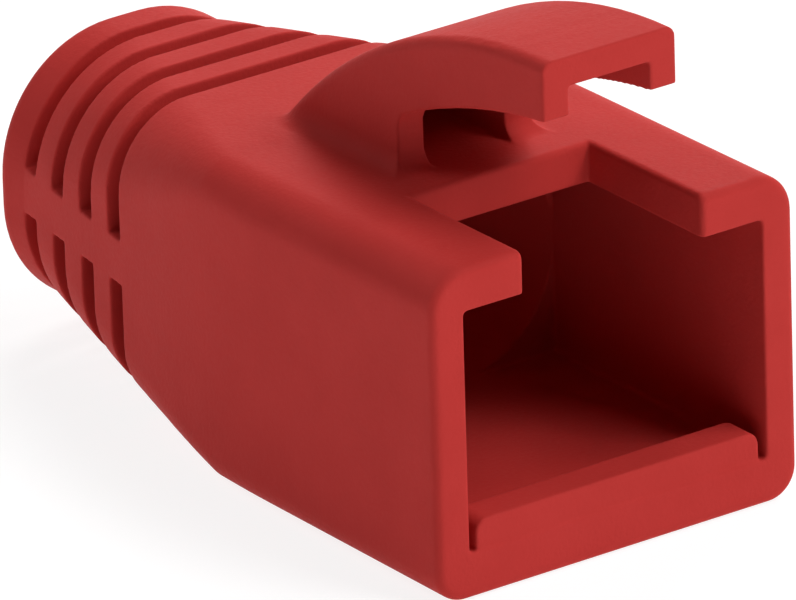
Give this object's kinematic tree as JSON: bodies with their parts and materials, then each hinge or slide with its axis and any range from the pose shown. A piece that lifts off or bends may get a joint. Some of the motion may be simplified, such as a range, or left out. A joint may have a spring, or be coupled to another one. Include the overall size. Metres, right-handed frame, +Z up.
{
  "type": "rj45 strain relief boot",
  "caption": "Soft one-piece boot that slides over a modular plug and its cable: open plug pocket, slotted flexible neck and a hollow hood over the plug's latch.",
  "frame": {"origin": "centre of the overall box in plan, on the plane of the flat underside", "axes": "+Y along the cable, out of the cable end; the mouth faces -Y; +Z up, towards the latch hood; +X to the right seen from the mouth"},
  "size_m": [0.0144, 0.0276, 0.0176],
  "materials": {
    "boot_plastic": "soft flexible plastic, matt, with a fine mould texture"
  },
  "bodies": {
    "root": {"strain_relief_boot": "boot_plastic"}
  },
  "joints": []
}
